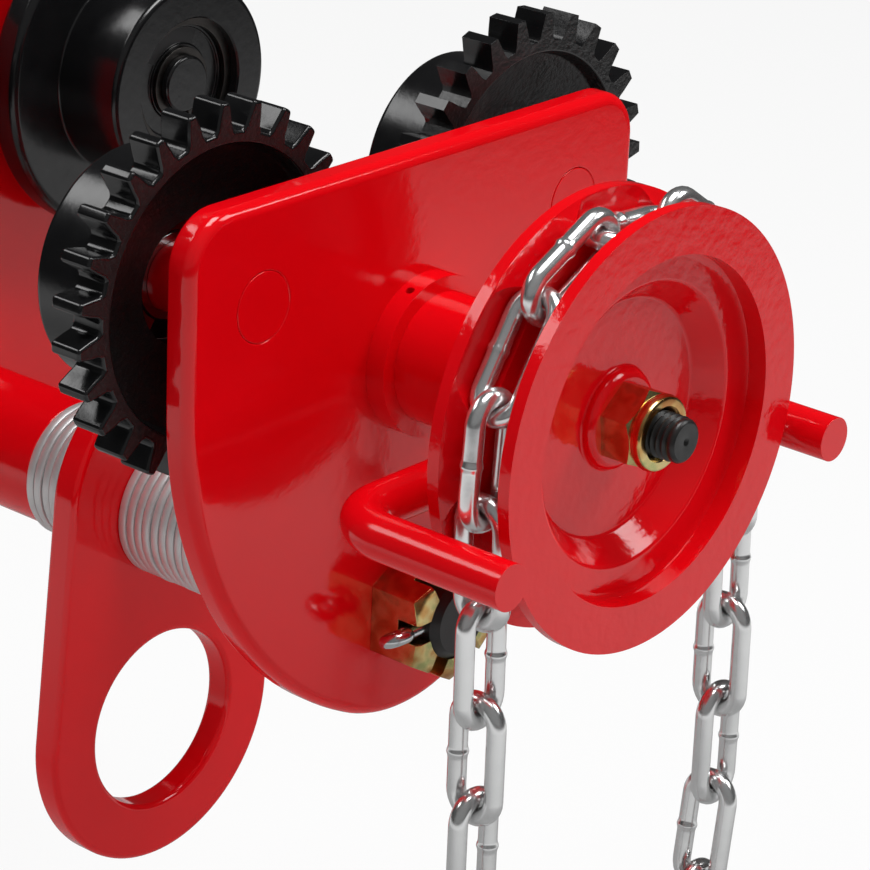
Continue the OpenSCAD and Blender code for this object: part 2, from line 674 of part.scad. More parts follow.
// Radius at which three lying and two standing links span half a turn, found by halving
function loop_turn(r) = 3 * asin(lying_half / r) + 2 * asin(standing_half / r);
function loop_radius(low, high, n = 24) =
    let (mid = (low + high) / 2)
    n == 0 ? mid : loop_turn(mid) > 90 ? loop_radius(mid, high, n - 1) : loop_radius(low, mid, n - 1);
loop_r = loop_radius(1.2 * lying_half, 5 * lying_half);

left_pins = strand_pins(polar(pin_r, left_end + standing_turn), left_lean, loop_shift - loop_r);
right_pins = strand_pins(polar(pin_r, right_end - standing_turn), right_lean, loop_shift + loop_r);
left_low = left_pins[len(left_pins) - 1];
right_low = right_pins[len(right_pins) - 1];
wheel_dirs = [for (k = [0:6]) left_end - k * link_step];
loop_centre = (left_low + right_low) / 2;
loop_end_r = norm(right_low - left_low) / 2;
loop_start = atan2(left_low[1] - loop_centre[1], left_low[0] - loop_centre[0]);
loop_turns = [0, 2 * asin(lying_half / loop_r), 2 * asin(standing_half / loop_r)];
loop_pins = [for (n = [0:5]) loop_centre + polar(loop_end_r,
    loop_start + ceil(n / 2) * loop_turns[1] + floor(n / 2) * loop_turns[2])];

// The links on the wheel, and the first link of each strand, which still lies inside the rim
module hand_chain_on_wheel() color("gainsboro") {
    for (k = [0:6]) placed_link(polar(k % 2 == 0 ? standing_r : lying_r, wheel_dirs[k]),
                                wheel_dirs[k] - 90, k % 2 == 1);
    linked([left_pins[0], left_pins[1]], true);
    linked([right_pins[0], right_pins[1]], true);
}

function after_first(pins) = [for (i = [1:len(pins) - 1]) pins[i]];

module hand_chain_left_strand() color("gainsboro") linked(after_first(left_pins), false);

module hand_chain_right_strand() color("gainsboro") linked(after_first(right_pins), false);

module hand_chain_loop() color("gainsboro") linked(loop_pins, true);

near_side_plate();
far_side_plate();
drive_tube_collar();
drive_tube();
shaft_bushes();
chain_guide();
drive_shaft();
drive_pinion();
pinion_key();
pinion_snap_ring();
hand_chain_wheel();
drive_lock_nut();
geared_wheel_left();
geared_wheel_right();
plain_wheel_left();
plain_wheel_right();
bore_ring(-1, -1);  // bore_ring_geared_left
bore_ring(-1, 1);  // bore_ring_geared_right
bore_ring(1, -1);  // bore_ring_plain_left
bore_ring(1, 1);  // bore_ring_plain_right
wheel_axles();
wheel_bearings();
axle_snap_rings();
load_shaft();
castle_nuts();
cotter_pins();
suspension_plate();
near_washer_stack();
far_washer_stack();
near_spacer_tube();
far_spacer_tube();
hand_chain_on_wheel();
hand_chain_left_strand();
hand_chain_right_strand();
hand_chain_loop();
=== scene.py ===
"""Looks of a geared beam trolley: red side plates, black geared wheels, a silver hand chain."""
import math
import random

import bmesh
import bpy
from mathutils import Matrix, Vector


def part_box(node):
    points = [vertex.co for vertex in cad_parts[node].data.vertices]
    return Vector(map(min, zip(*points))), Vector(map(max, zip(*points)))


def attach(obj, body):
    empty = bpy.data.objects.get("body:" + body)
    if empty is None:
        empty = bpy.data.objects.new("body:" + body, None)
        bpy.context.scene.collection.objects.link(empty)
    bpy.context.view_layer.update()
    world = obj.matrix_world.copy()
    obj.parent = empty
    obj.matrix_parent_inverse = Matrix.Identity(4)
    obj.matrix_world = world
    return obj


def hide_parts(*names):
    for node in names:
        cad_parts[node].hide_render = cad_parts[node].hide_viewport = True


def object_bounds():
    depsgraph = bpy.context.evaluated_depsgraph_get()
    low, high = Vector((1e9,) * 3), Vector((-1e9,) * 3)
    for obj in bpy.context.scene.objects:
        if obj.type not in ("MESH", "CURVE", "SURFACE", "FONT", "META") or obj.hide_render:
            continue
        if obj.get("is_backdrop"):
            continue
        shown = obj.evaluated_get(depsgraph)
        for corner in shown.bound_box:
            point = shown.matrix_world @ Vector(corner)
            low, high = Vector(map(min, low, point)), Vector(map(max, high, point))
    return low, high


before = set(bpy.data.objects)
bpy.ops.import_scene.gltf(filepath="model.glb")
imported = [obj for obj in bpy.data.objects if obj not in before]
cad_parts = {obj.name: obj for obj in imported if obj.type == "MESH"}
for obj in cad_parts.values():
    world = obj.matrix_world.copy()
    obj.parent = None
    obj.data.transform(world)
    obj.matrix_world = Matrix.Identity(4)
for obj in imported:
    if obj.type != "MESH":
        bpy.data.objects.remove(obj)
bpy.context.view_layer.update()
MM = 0.001
SAME_POINT, SEAM = 0.002 * MM, 0.01 * MM
FLAT, EDGE, CREASE = math.radians(0.5), math.radians(33), math.radians(34)
ACROSS_BEAM = (0, 1, 0)


# Side plates. Each is cut from thick steel plate, its edges are ground round, and it is
# powder coated in one glossy red coat with a faint orange peel. The near one carries the
# drive, and both carry two wheels.
def axis_of(node):
    """The middle of a CAD node's box, which for a round node lies on its axis."""
    low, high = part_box(node)
    return (low + high) / 2


def node_shape(node):
    """A CAD node's own solid with its triangles merged into whole faces."""
    shape = bmesh.new()
    shape.from_mesh(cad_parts[node].data)
    bmesh.ops.remove_doubles(shape, verts=shape.verts, dist=SAME_POINT)
    bmesh.ops.dissolve_limit(shape, angle_limit=FLAT, verts=shape.verts, edges=shape.edges)
    return shape


def round_over(shape, radius, steps=3, where=lambda middle: True):
    """Rounds a shape's sharp edges, or only those whose middle passes the where test."""
    sharp = [edge for edge in shape.edges
             if edge.is_manifold and edge.calc_face_angle() > EDGE
             and where((edge.verts[0].co + edge.verts[1].co) / 2)]
    bmesh.ops.bevel(shape, geom=sharp, offset=radius * MM, offset_type="OFFSET", segments=steps,
                    profile=0.5, affect="EDGES", clamp_overlap=True, material=-1)


def off_axis(point, axis):
    """Distance of a point from an axis across the beam, in mm."""
    return math.hypot(point.x - axis.x, point.z - axis.z) / MM


def fit_piece(shape, name, body, nodes, slot, *finishes):
    """Makes a shape the piece shown for some CAD nodes, with its broad faces shaded flat."""
    bmesh.ops.recalc_face_normals(shape, faces=shape.faces)
    mesh = bpy.data.meshes.new(name)
    shape.to_mesh(mesh)
    shape.free()
    for finish in finishes:
        mesh.materials.append(finish)
    mesh.shade_smooth()
    mesh.set_sharp_from_angle(angle=CREASE)
    piece = bpy.data.objects.new(name, mesh)
    bpy.context.scene.collection.objects.link(piece)
    even = piece.modifiers.new("even_shading", "WEIGHTED_NORMAL")
    even.keep_sharp = True
    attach(piece, body)
    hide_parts(*nodes)


MIX_FACTOR, MIX_FIRST, MIX_SECOND, MIX_RESULT = 0, 6, 7, 2


class Value:
    """A socket in a material's nodes. Sums on it add the Math nodes that work them out."""

    def __init__(self, tree, socket=None):
        self.tree, self.socket = tree, socket

    def node(self, kind, settings=(), inputs=(), output=0):
        """Adds a node: its settings, then numbers, colours or other values to its sockets."""
        made = self.tree.nodes.new(kind)
        for name, setting in dict(settings).items():
            if name == "stops":
                for stop in range(len(setting) - 2):
                    made.color_ramp.elements.new(0.5)
                for stop, (at, colour) in zip(made.color_ramp.elements, setting):
                    stop.position, stop.color = at, (*colour, 1)
            else:
                setattr(made, name, setting)
        for name, value in dict(inputs).items():
            if isinstance(value, Value):
                self.tree.links.new(value.socket, made.inputs[name])
            else:
                made.inputs[name].default_value = value
        return Value(self.tree, made.outputs[output])

    def math(self, operation, *terms):
        """The result of a Math node on some terms."""
        return self.node("ShaderNodeMath", {"operation": operation}, enumerate(terms))

    def __add__(self, other):
        return self.math("ADD", self, other)

    def __sub__(self, other):
        return self.math("SUBTRACT", self, other)

    def __rsub__(self, other):
        return self.math("SUBTRACT", other, self)

    def __mul__(self, other):
        return self.math("MULTIPLY", self, other)

    __radd__ = __add__
    __rmul__ = __mul__

    def within(self, low, high):
        """0 below low, 1 above high, and a smooth step between them."""
        return self.node("ShaderNodeMapRange", {"interpolation_type": "SMOOTHSTEP"},
                         {"Value": self, "From Min": low, "From Max": high})

    def mottle(self, size, detail=2.0, rough=0.5):
        """Noise from 0 to 1 whose blotches are about size mm wide."""
        return self.node("ShaderNodeTexNoise", inputs={
            "Vector": self.node("ShaderNodeTexCoord", output="Object"),
            "Scale": 1 / (size * MM), "Detail": detail, "Roughness": rough})

    def blend(self, first, second):
        """A colour that goes from first to second as this value goes from 0 to 1."""
        return self.node("ShaderNodeMix", {"data_type": "RGBA"},
                         {MIX_FACTOR: self, MIX_FIRST: (*first, 1), MIX_SECOND: (*second, 1)},
                         output=MIX_RESULT)

    def bump(self, depth):
        """The surface's normal where this height is depth mm at 1."""
        return self.node("ShaderNodeBump", inputs={"Height": self, "Distance": depth * MM})


def new_finish(name, **constants):
    """A material with one Principled shader. Constants are set on the shader's own sockets."""
    material = bpy.data.materials.new(name)
    material.use_nodes = True
    nodes = material.node_tree.nodes
    shader = nodes["Principled BSDF"]
    for socket, constant in constants.items():
        shader.inputs[socket.replace("_", " ")].default_value = constant
    return material, shader, Value(material.node_tree)


def wire(shader, **values):
    """Links values that change over the surface to the shader's sockets."""
    for socket, value in values.items():
        value.tree.links.new(value.socket, shader.inputs[socket.replace("_", " ")])


def red_coat(name, peel_size, peel_depth, roughness):
    """Glossy red powder coat over a surface that is more or less even."""
    finish, shader, start = new_finish(name, IOR=1.45)
    peel = start.mottle(peel_size, detail=1.5)
    fine = start.mottle(0.8)
    wire(shader,
         Base_Color=start.mottle(25).blend((0.74, 0.0012, 0.0045), (0.8, 0.002, 0.007)),
         Roughness=roughness + 0.06 * start.mottle(9),
         Normal=(peel + 0.2 * fine).bump(peel_depth))
    return finish


plate_red = red_coat("red_powder_coat", peel_size=3.2, peel_depth=0.035, roughness=0.07)
left_wheel, right_wheel = axis_of("plain_wheel_left"), axis_of("plain_wheel_right")
drive, load = axis_of("drive_tube"), axis_of("load_shaft")
# Each hole's axis, with a radius in mm that takes in its edge and nothing else.
HOLES = [(left_wheel, 10), (right_wheel, 10), (drive, 19), (load, 12)]
OUTER_ROUNDING, INNER_ROUNDING, HOLE_ROUNDING = 3.2, 0.9, 0.55
plate_mid = sum(abs(corner.y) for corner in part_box("far_side_plate")) / 2


def at_hole(point):
    """True at the edge of one of a side plate's holes."""
    return any(off_axis(point, hole) < reach for hole, reach in HOLES)


def on_outside(point):
    """True on a side plate's outline at the face that looks away from the beam."""
    return abs(point.y) > plate_mid and not at_hole(point)


def on_inside(point):
    """True on a side plate's outline at the face that looks to the beam."""
    return abs(point.y) < plate_mid and not at_hole(point)


for side in ("near", "far"):
    plate = node_shape(side + "_side_plate")
    round_over(plate, OUTER_ROUNDING, steps=6, where=on_outside)
    round_over(plate, INNER_ROUNDING, where=on_inside)
    round_over(plate, HOLE_ROUNDING, where=at_hole)
    fit_piece(plate, "side_plate_" + side, "frame", [side + "_side_plate"],
              "red_paint", plate_red)


# Drive tube. A steel tube through the near plate, with a collar welded round it where it
# leaves the plate. The collar has a small oil hole.
PAST_TUBE_R = 20
tube = node_shape("drive_tube")
round_over(tube, 0.5)
fit_piece(tube, "shaft_tube", "frame", ["drive_tube"], "red_paint", plate_red)
collar = node_shape("drive_tube_collar")
round_over(collar, 1.3, where=lambda middle: off_axis(middle, drive) > PAST_TUBE_R)
fit_piece(collar, "tube_collar", "frame", ["drive_tube_collar"], "red_paint", plate_red)


# Shaft bushes. Two sintered bronze bushes pressed into the tube's ends.
bronze, shader, start = new_finish("sintered_bronze", Metallic=1.0)
wire(shader,
     Base_Color=start.mottle(0.8).blend((0.42, 0.22, 0.09), (0.56, 0.32, 0.14)),
     Roughness=0.32 + 0.12 * start.mottle(2.5))
bushes = node_shape("shaft_bushes")
round_over(bushes, 0.4)
fit_piece(bushes, "bronze_bushes", "frame", ["shaft_bushes"], "bronze", bronze)


# Chain guide. A round steel bar bent to a U and welded under the drive tube. It keeps the
# hanging hand chain in line with its wheel.
guide_red = red_coat("guide_powder_coat", peel_size=4.5, peel_depth=0.03, roughness=0.09)
guide = node_shape("chain_guide")
round_over(guide, 0.9)
fit_piece(guide, "bent_chain_guide", "frame", ["chain_guide"], "guide_paint", guide_red)


# Wheels. Four iron castings with turned treads, sprayed in glossy black. The two at the
# near side have teeth round their flanges. The hollow in each outer face is left as rough
# as it came out of the sand.
enamel, shader, start = new_finish("black_enamel", IOR=1.5)
wire(shader,
     Base_Color=start.mottle(6).blend((0.004, 0.004, 0.0045), (0.008, 0.008, 0.0085)),
     Roughness=0.13 + 0.12 * start.mottle(5),
     Normal=(start.mottle(2.6) + 0.25 * start.mottle(0.6)).bump(0.03))
casting, shader, start = new_finish("black_rough_casting", IOR=1.5)
grit = start.mottle(1.5, detail=4, rough=0.6)
wire(shader,
     Base_Color=grit.blend((0.003, 0.003, 0.003), (0.012, 0.012, 0.0125)),
     Roughness=0.28 + 0.2 * start.mottle(3),
     Normal=(grit + 0.5 * start.mottle(4)).bump(0.45))
# Radii and reaches in mm that part a wheel's edges and faces: past the bearing's bore, about
# the hollow's rim, and out on the flange.
CASTING_ROUNDING, HOLLOW_ROUNDING = 0.9, 0.4
PAST_BORE_R, NEAR_RIM_R, HOLLOW_R, PAST_RIM_R = 21.5, 36.0, 37.7, 40.0
HOLLOW_REACH, FLANGE_REACH = 69.6, 75.0
FACES_BEAM = 0.2
for wheel in ("geared_wheel_left", "geared_wheel_right", "plain_wheel_left", "plain_wheel_right"):
    axis = left_wheel if "left" in wheel else right_wheel
    shape = node_shape(wheel)
    round_over(shape, CASTING_ROUNDING,
               where=lambda middle: off_axis(middle, axis) > PAST_RIM_R)
    round_over(shape, CASTING_ROUNDING,
               where=lambda middle: PAST_BORE_R < off_axis(middle, axis) < PAST_RIM_R
               and abs(middle.y) < FLANGE_REACH * MM)
    round_over(shape, HOLLOW_ROUNDING, steps=2,
               where=lambda middle: NEAR_RIM_R < off_axis(middle, axis) < PAST_RIM_R
               and abs(middle.y) > FLANGE_REACH * MM)
    for face in shape.faces:
        middle = face.calc_center_median()
        inward = face.normal.y * middle.y < -FACES_BEAM * abs(middle.y)
        rough = off_axis(middle, axis) < HOLLOW_R and abs(middle.y) > HOLLOW_REACH * MM
        face.material_index = int(rough and not inward)
    body = wheel.replace("_wheel", "")
    fit_piece(shape, "cast_" + wheel, body, [wheel], "black_paint", enamel, casting)


# Wheel bearings. Sealed ball bearings with ground rings and a dark shield, each held in
# its wheel by a spring steel ring in the bore and on its axle by a smaller one. The end that
# shows from the beam was sprayed black with its wheel.
bearing_steel, shader, start = new_finish("ground_bearing_steel", Metallic=1.0)
wire(shader,
     Base_Color=start.mottle(4).blend((0.52, 0.53, 0.54), (0.62, 0.63, 0.64)),
     Roughness=0.18 + 0.1 * start.mottle(1.2))
shield, shader, start = new_finish("bearing_shield", IOR=1.5)
wire(shader,
     Base_Color=start.mottle(2).blend((0.012, 0.012, 0.013), (0.022, 0.022, 0.023)),
     Roughness=0.38 + 0.15 * start.mottle(1))
spring_steel, shader, start = new_finish("spring_steel", Metallic=1.0)
wire(shader,
     Base_Color=start.mottle(3).blend((0.05, 0.048, 0.045), (0.11, 0.1, 0.095)),
     Roughness=0.3 + 0.15 * start.mottle(1.5))
SPRAYED_REACH = 54.0
SHIELD_LOW_R, SHIELD_HIGH_R, FLAT_FACE = 11.6, 16.4, 0.9
bearings = node_shape("wheel_bearings")
round_over(bearings, 0.35)
for face in bearings.faces:
    middle = face.calc_center_median()
    out = min(off_axis(middle, left_wheel), off_axis(middle, right_wheel))
    shielded = SHIELD_LOW_R < out < SHIELD_HIGH_R and abs(face.normal.y) > FLAT_FACE
    face.material_index = 1 if shielded else 2 * int(abs(middle.y) < SPRAYED_REACH * MM)
fit_piece(bearings, "sealed_bearings", "frame", ["wheel_bearings"], "bearing_steel",
          bearing_steel, shield, enamel)
axle_rings = node_shape("axle_snap_rings")
round_over(axle_rings, 0.15, steps=2)
fit_piece(axle_rings, "axle_rings", "frame", ["axle_snap_rings"], "black_oxide", spring_steel)
for end in ("geared_left", "geared_right", "plain_left", "plain_right"):
    ring = node_shape("bore_ring_" + end)
    round_over(ring, 0.2, steps=2)
    fit_piece(ring, "wheel_ring_" + end, end, ["bore_ring_" + end], "black_oxide", spring_steel)


# Wheel axles. Four stepped steel pins, riveted flush into the side plates and painted
# with them, so that each shows as a disc with a fine ring round it. The tip in the wheel
# is black like the wheel.
axles = node_shape("wheel_axles")
round_over(axles, 0.55)
for face in axles.faces:
    face.material_index = int(abs(face.calc_center_median().y) < SPRAYED_REACH * MM)
fit_piece(axles, "riveted_axles", "frame", ["wheel_axles"], "red_paint", plate_red, enamel)


# Drive shaft and pinion. The shaft is blackened steel, keyed to the pinion at its inner
# end. Its outer end is threaded, with a lathe centre in its face.
oxide, shader, start = new_finish("black_oxide_steel", IOR=1.5)
wire(shader,
     Base_Color=start.mottle(2.2).blend((0.006, 0.006, 0.006), (0.018, 0.017, 0.016)),
     Roughness=0.26 + 0.2 * start.mottle(1.4),
     Normal=start.mottle(0.5).bump(0.008))
STUD_R, THREAD_ROOT_R, PITCH, THREAD_STEPS = 6.0, 5.15, 1.75, 40
hub_face = -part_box("drive_lock_nut")[1].y / MM
stud_end = -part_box("drive_shaft")[0].y / MM
shaft = node_shape("drive_shaft")
bmesh.ops.bisect_plane(shaft, geom=shaft.verts[:] + shaft.edges[:] + shaft.faces[:],
                       plane_co=(0, -(hub_face + 0.2) * MM, 0), plane_no=(0, -1, 0),
                       clear_outer=True)
bmesh.ops.holes_fill(shaft, edges=[edge for edge in shaft.edges if edge.is_boundary])
round_over(shaft, 0.3)


def spin_row(shape, profile, axis, turns, steps, advance=0.0, closed=False):
    """Turns a row of (radius, reach) points in mm about an axis across the beam."""
    row = [shape.verts.new((axis.x + r * MM, y * MM, axis.z)) for r, y in profile]
    edges = [shape.edges.new(pair) for pair in zip(row, row[1:])]
    bmesh.ops.spin(shape, geom=row + edges, cent=axis, axis=ACROSS_BEAM,
                   dvec=(0, advance / steps * MM, 0), angle=math.tau * turns,
                   steps=steps * turns, use_merge=closed, use_normal_flip=False,
                   use_duplicate=False)


def turn(shape, profile, axis, steps=96):
    """Turns a row of (radius, reach) points once round an axis, and closes it."""
    spin_row(shape, profile, axis, 1, steps, closed=True)
    bmesh.ops.remove_doubles(shape, verts=shape.verts, dist=SAME_POINT)


thread_start, thread_end = hub_face + 0.3, stud_end - 1.9
# One pitch of the thread: up its flank, over its rounded crest, down and along the root.
thread_profile = [(THREAD_ROOT_R, 0), (STUD_R - 0.12, 0.62), (STUD_R, 0.72), (STUD_R, 0.86),
                  (STUD_R - 0.12, 0.96), (THREAD_ROOT_R, 1.56), (THREAD_ROOT_R, PITCH)]
# The stud's core and its plain tip, with a chamfer and a lathe centre.
core_profile = [(0, -hub_face), (THREAD_ROOT_R - 0.05, -hub_face),
                (THREAD_ROOT_R - 0.05, -thread_end + 0.6), (STUD_R - 0.3, -thread_end),
                (STUD_R - 0.25, -stud_end + 1.0), (STUD_R - 0.6, -stud_end + 0.35),
                (STUD_R - 1.2, -stud_end), (1.1, -stud_end), (0.5, -stud_end + 0.9),
                (0, -stud_end + 1.0)]
thread = bmesh.new()
spin_row(thread, [(r, -thread_start - y) for r, y in thread_profile], drive,
         int((thread_end - thread_start) / PITCH), THREAD_STEPS, advance=-PITCH)
bmesh.ops.remove_doubles(thread, verts=thread.verts, dist=SEAM)
bmesh.ops.holes_fill(thread, edges=[edge for edge in thread.edges if edge.is_boundary])
turn(thread, core_profile, drive, steps=64)
thread_mesh = bpy.data.meshes.new("thread")
thread.to_mesh(thread_mesh)
thread.free()
shaft.from_mesh(thread_mesh)
fit_piece(shaft, "threaded_drive_shaft", "drive", ["drive_shaft"], "black_oxide", oxide)
pinion = node_shape("drive_pinion")
round_over(pinion, 0.6)
fit_piece(pinion, "cut_pinion", "drive", ["drive_pinion"], "black_oxide", oxide)
key_steel, shader, start = new_finish("key_steel", Metallic=1.0)
wire(shader,
     Base_Color=start.mottle(2).blend((0.4, 0.41, 0.42), (0.52, 0.53, 0.54)),
     Roughness=0.3 + 0.1 * start.mottle(0.8))
key = node_shape("pinion_key")
round_over(key, 0.3)
fit_piece(key, "shaft_key", "drive", ["pinion_key"], "key_steel", key_steel)
ring = node_shape("pinion_snap_ring")
round_over(ring, 0.2, steps=2)
fit_piece(ring, "shaft_ring", "drive", ["pinion_snap_ring"], "black_oxide", spring_steel)


# Hand chain wheel. One iron casting with a deep dish in front, a groove round its rim and
# six pockets in the groove for the links that lie flat. The red coat follows the casting's
# uneven skin, so reflections in its web break up.
wheel_red = red_coat("red_coat_on_casting", peel_size=3.4, peel_depth=0.13, roughness=0.06)
INSIDE_RIM_R = 44
chain_wheel = node_shape("hand_chain_wheel")
round_over(chain_wheel, 1.0, where=lambda middle: off_axis(middle, drive) > INSIDE_RIM_R)
round_over(chain_wheel, 0.7, where=lambda middle: off_axis(middle, drive) < INSIDE_RIM_R)
fit_piece(chain_wheel, "cast_hand_chain_wheel", "drive", ["hand_chain_wheel"],
          "red_paint", wheel_red)


# Nuts. Steel hexagons in yellow chromate over zinc, which shines gold with rusty and green
# tints. The lock nut has a round crimped collar, the castle nuts are slotted for split pins.
yellow_zinc, shader, start = new_finish("yellow_zinc", Metallic=1.0)
tint = start.mottle(5, detail=1)
wire(shader,
     Base_Color=tint.node("ShaderNodeValToRGB",
                          {"stops": [(0.32, (0.5, 0.22, 0.07)), (0.45, (0.62, 0.38, 0.14)),
                                     (0.56, (0.68, 0.54, 0.24)), (0.68, (0.48, 0.48, 0.2))]},
                          {"Fac": tint}),
     Roughness=0.16 + 0.12 * start.mottle(1.5),
     Normal=start.mottle(1.2).bump(0.01))


def grow_ring(shape, ring, points):
    """Extrudes a closed row of edges and moves each new vertex to where points says, in mm."""
    made = bmesh.ops.extrude_edge_only(shape, edges=ring)["geom"]
    verts = [item for item in made if isinstance(item, bmesh.types.BMVert)]
    for vert in verts:
        vert.co = Vector(points(vert.co / MM)) * MM
    return [item for item in made if isinstance(item, bmesh.types.BMEdge)
            and item.verts[0] in verts and item.verts[1] in verts]


NUT_AF, NUT_COLLAR_R, NUT_COLLAR_H, NUT_TURN = 19.0, 10.0, 3.4, math.radians(8)
NUT_FACE_R, NUT_CHAMFER = NUT_AF / 2 - 0.15, 0.55
nut_out = -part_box("drive_lock_nut")[0].y / MM
hex_out = nut_out - NUT_COLLAR_H
nut = bmesh.new()
hub_middle = Vector((drive.x, -hub_face * MM, drive.z))
facing = Matrix.Translation(hub_middle) @ Matrix.Rotation(math.pi / 2, 4, "X")
bmesh.ops.create_circle(nut, cap_ends=False, segments=6, radius=NUT_AF / math.sqrt(3) * MM,
                        matrix=facing @ Matrix.Rotation(NUT_TURN, 4, "Z"))
bmesh.ops.subdivide_edges(nut, edges=nut.edges, cuts=11)


def to_hex_face(at):
    """Moves a point out to the hexagon's face, which its chamfer takes down at the corners."""
    out = math.hypot(at.x - drive.x / MM, at.z - drive.z / MM)
    return (at.x, NUT_CHAMFER * max(0.0, out - NUT_FACE_R) - hex_out, at.z)


def about_drive(r, y):
    """Moves a point to a radius about the drive's axis and to a reach from the beam's middle."""
    def moved(at):
        away = Vector((at.x - drive.x / MM, 0, at.z - drive.z / MM)).normalized() * r
        return (away.x + drive.x / MM, -y, away.z + drive.z / MM)
    return moved


# The nut's surface from the edge of its hexagon's face over the collar and into the bore.
collar_profile = [(NUT_FACE_R, hex_out), (NUT_COLLAR_R - 0.7, hex_out + 0.05),
                  (NUT_COLLAR_R - 0.75, hex_out + 0.45), (NUT_COLLAR_R - 0.15, hex_out + 0.9),
                  (NUT_COLLAR_R, hex_out + 1.5), (NUT_COLLAR_R - 0.12, nut_out - 0.75),
                  (NUT_COLLAR_R - 0.5, nut_out - 0.22), (NUT_COLLAR_R - 1.1, nut_out),
                  (STUD_R + 1.3, nut_out - 0.05), (STUD_R + 0.6, nut_out - 0.7),
                  (STUD_R + 0.15, nut_out - 2.2), (STUD_R + 0.15, hub_face)]
back = list(nut.edges)
ring = grow_ring(nut, back, to_hex_face)
for r, y in collar_profile:
    ring = grow_ring(nut, ring, about_drive(r, y))
bmesh.ops.bridge_loops(nut, edges=ring + back)
fit_piece(nut, "collared_lock_nut", "drive", ["drive_lock_nut"], "yellow_zinc", yellow_zinc)
castle = node_shape("castle_nuts")
round_over(castle, 0.45)
fit_piece(castle, "slotted_nuts", "frame", ["castle_nuts"], "yellow_zinc", yellow_zinc)


# Load shaft with its split pins. The shaft is blackened round bar, chamfered at both
# ends. Each pin is half round wire folded to an eye, in bright zinc.
bright_zinc, shader, start = new_finish("bright_zinc", Metallic=1.0)
wire(shader,
     Base_Color=start.mottle(3).blend((0.62, 0.63, 0.64), (0.74, 0.75, 0.76)),
     Roughness=0.16 + 0.12 * start.mottle(1.5),
     Normal=start.mottle(0.8).bump(0.012))
bar = node_shape("load_shaft")
round_over(bar, 0.5)
fit_piece(bar, "load_bar", "frame", ["load_shaft"], "black_oxide", oxide)
pins = node_shape("cotter_pins")
round_over(pins, 0.4)
fit_piece(pins, "split_pins", "frame", ["cotter_pins"], "bright_zinc", bright_zinc)


# Adjusting washers and spacers. Stamped steel washers in bright zinc set the trolley to
# the width of its beam. Each hangs down on the load shaft by its own small play, and a red
# tube fills the rest of the way to each side plate.
washer_zinc, shader, start = new_finish("washer_zinc", Metallic=0.7)
wire(shader,
     Base_Color=start.mottle(4).blend((0.66, 0.66, 0.66), (0.8, 0.8, 0.8)),
     Roughness=0.4 + 0.14 * start.mottle(2),
     Normal=start.mottle(1.1, detail=3).bump(0.02))
WASHER_R, WASHER_BORE_R, WASHER_T, WASHERS = 20.0, 11.5, 3.05, 9
# How far in mm a washer lies to a side, hangs down, and hangs down more by chance.
SIDEWAYS, SAG, MORE_SAG = 0.22, 0.28, 0.1
chance = random.Random(5)
for side, sign in (("near", -1), ("far", 1)):
    low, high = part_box(side + "_washer_stack")
    first = min(abs(low.y), abs(high.y)) / MM
    step = (abs(high.y - low.y) / MM - WASHER_T) / (WASHERS - 1)
    stack = bmesh.new()
    for count in range(WASHERS):
        lean = Vector((chance.uniform(-SIDEWAYS, SIDEWAYS), 0,
                       -SAG - chance.uniform(0, MORE_SAG))) * MM
        back = first + count * step
        front = back + WASHER_T
        rows = [(WASHER_BORE_R, back + 0.3), (WASHER_BORE_R + 0.3, back), (WASHER_R - 0.9, back),
                (WASHER_R - 0.3, back + 0.25), (WASHER_R, back + 0.85), (WASHER_R, front - 0.85),
                (WASHER_R - 0.3, front - 0.25), (WASHER_R - 0.9, front),
                (WASHER_BORE_R + 0.3, front), (WASHER_BORE_R, front - 0.3),
                (WASHER_BORE_R, back + 0.3)]
        turn(stack, [(r, sign * y) for r, y in rows], load + lean)
    fit_piece(stack, "washers_" + side, "frame", [side + "_washer_stack"],
              "bright_zinc", washer_zinc)
    spacer = node_shape(side + "_spacer_tube")
    round_over(spacer, 0.8)
    fit_piece(spacer, "spacer_" + side, "frame", [side + "_spacer_tube"],
              "red_paint", plate_red)


# Suspension plate. A broad steel plate that hangs on the load shaft between the washers.
# The hoist's hook goes through its eye. Its edges are ground round and it is powder coated.
PAST_HOLE_R = 13
hanger = node_shape("suspension_plate")
round_over(hanger, 2.2, steps=4, where=lambda middle: off_axis(middle, load) > PAST_HOLE_R)
fit_piece(hanger, "suspension_eye_plate", "suspension", ["suspension_plate"],
          "red_paint", plate_red)


# Hand chain. Round wire links, bent, closed with a butt weld half way along one side and
# bright zinc plated. The weld leaves a low ridge round the wire.
chain_zinc, shader, start = new_finish("chain_zinc", Metallic=0.92)
wire(shader,
     Base_Color=start.mottle(5).blend((0.78, 0.79, 0.79), (0.9, 0.9, 0.9)),
     Roughness=0.17 + 0.1 * start.mottle(2.5),
     Normal=start.mottle(2).bump(0.012))
WIRE_R, BEND_R, STRAIGHT = 2.5, 6.0, 9.9
# Places along the weld's side in mm, with how many times thicker than the wire it is there.
WELD = [(-1.7, 1.0), (-1.0, 1.04), (-0.45, 1.12), (0.0, 1.15), (0.45, 1.11), (1.1, 1.03),
        (1.8, 1.0)]


def along_straight(x, swell):
    """Moves the wire's ring along the link's first side, swollen round the wire's own middle."""
    def moved(at):
        out = Vector((0, at.y - BEND_R, at.z)).normalized() * WIRE_R * swell
        return (x, BEND_R + out.y, out.z)
    return moved


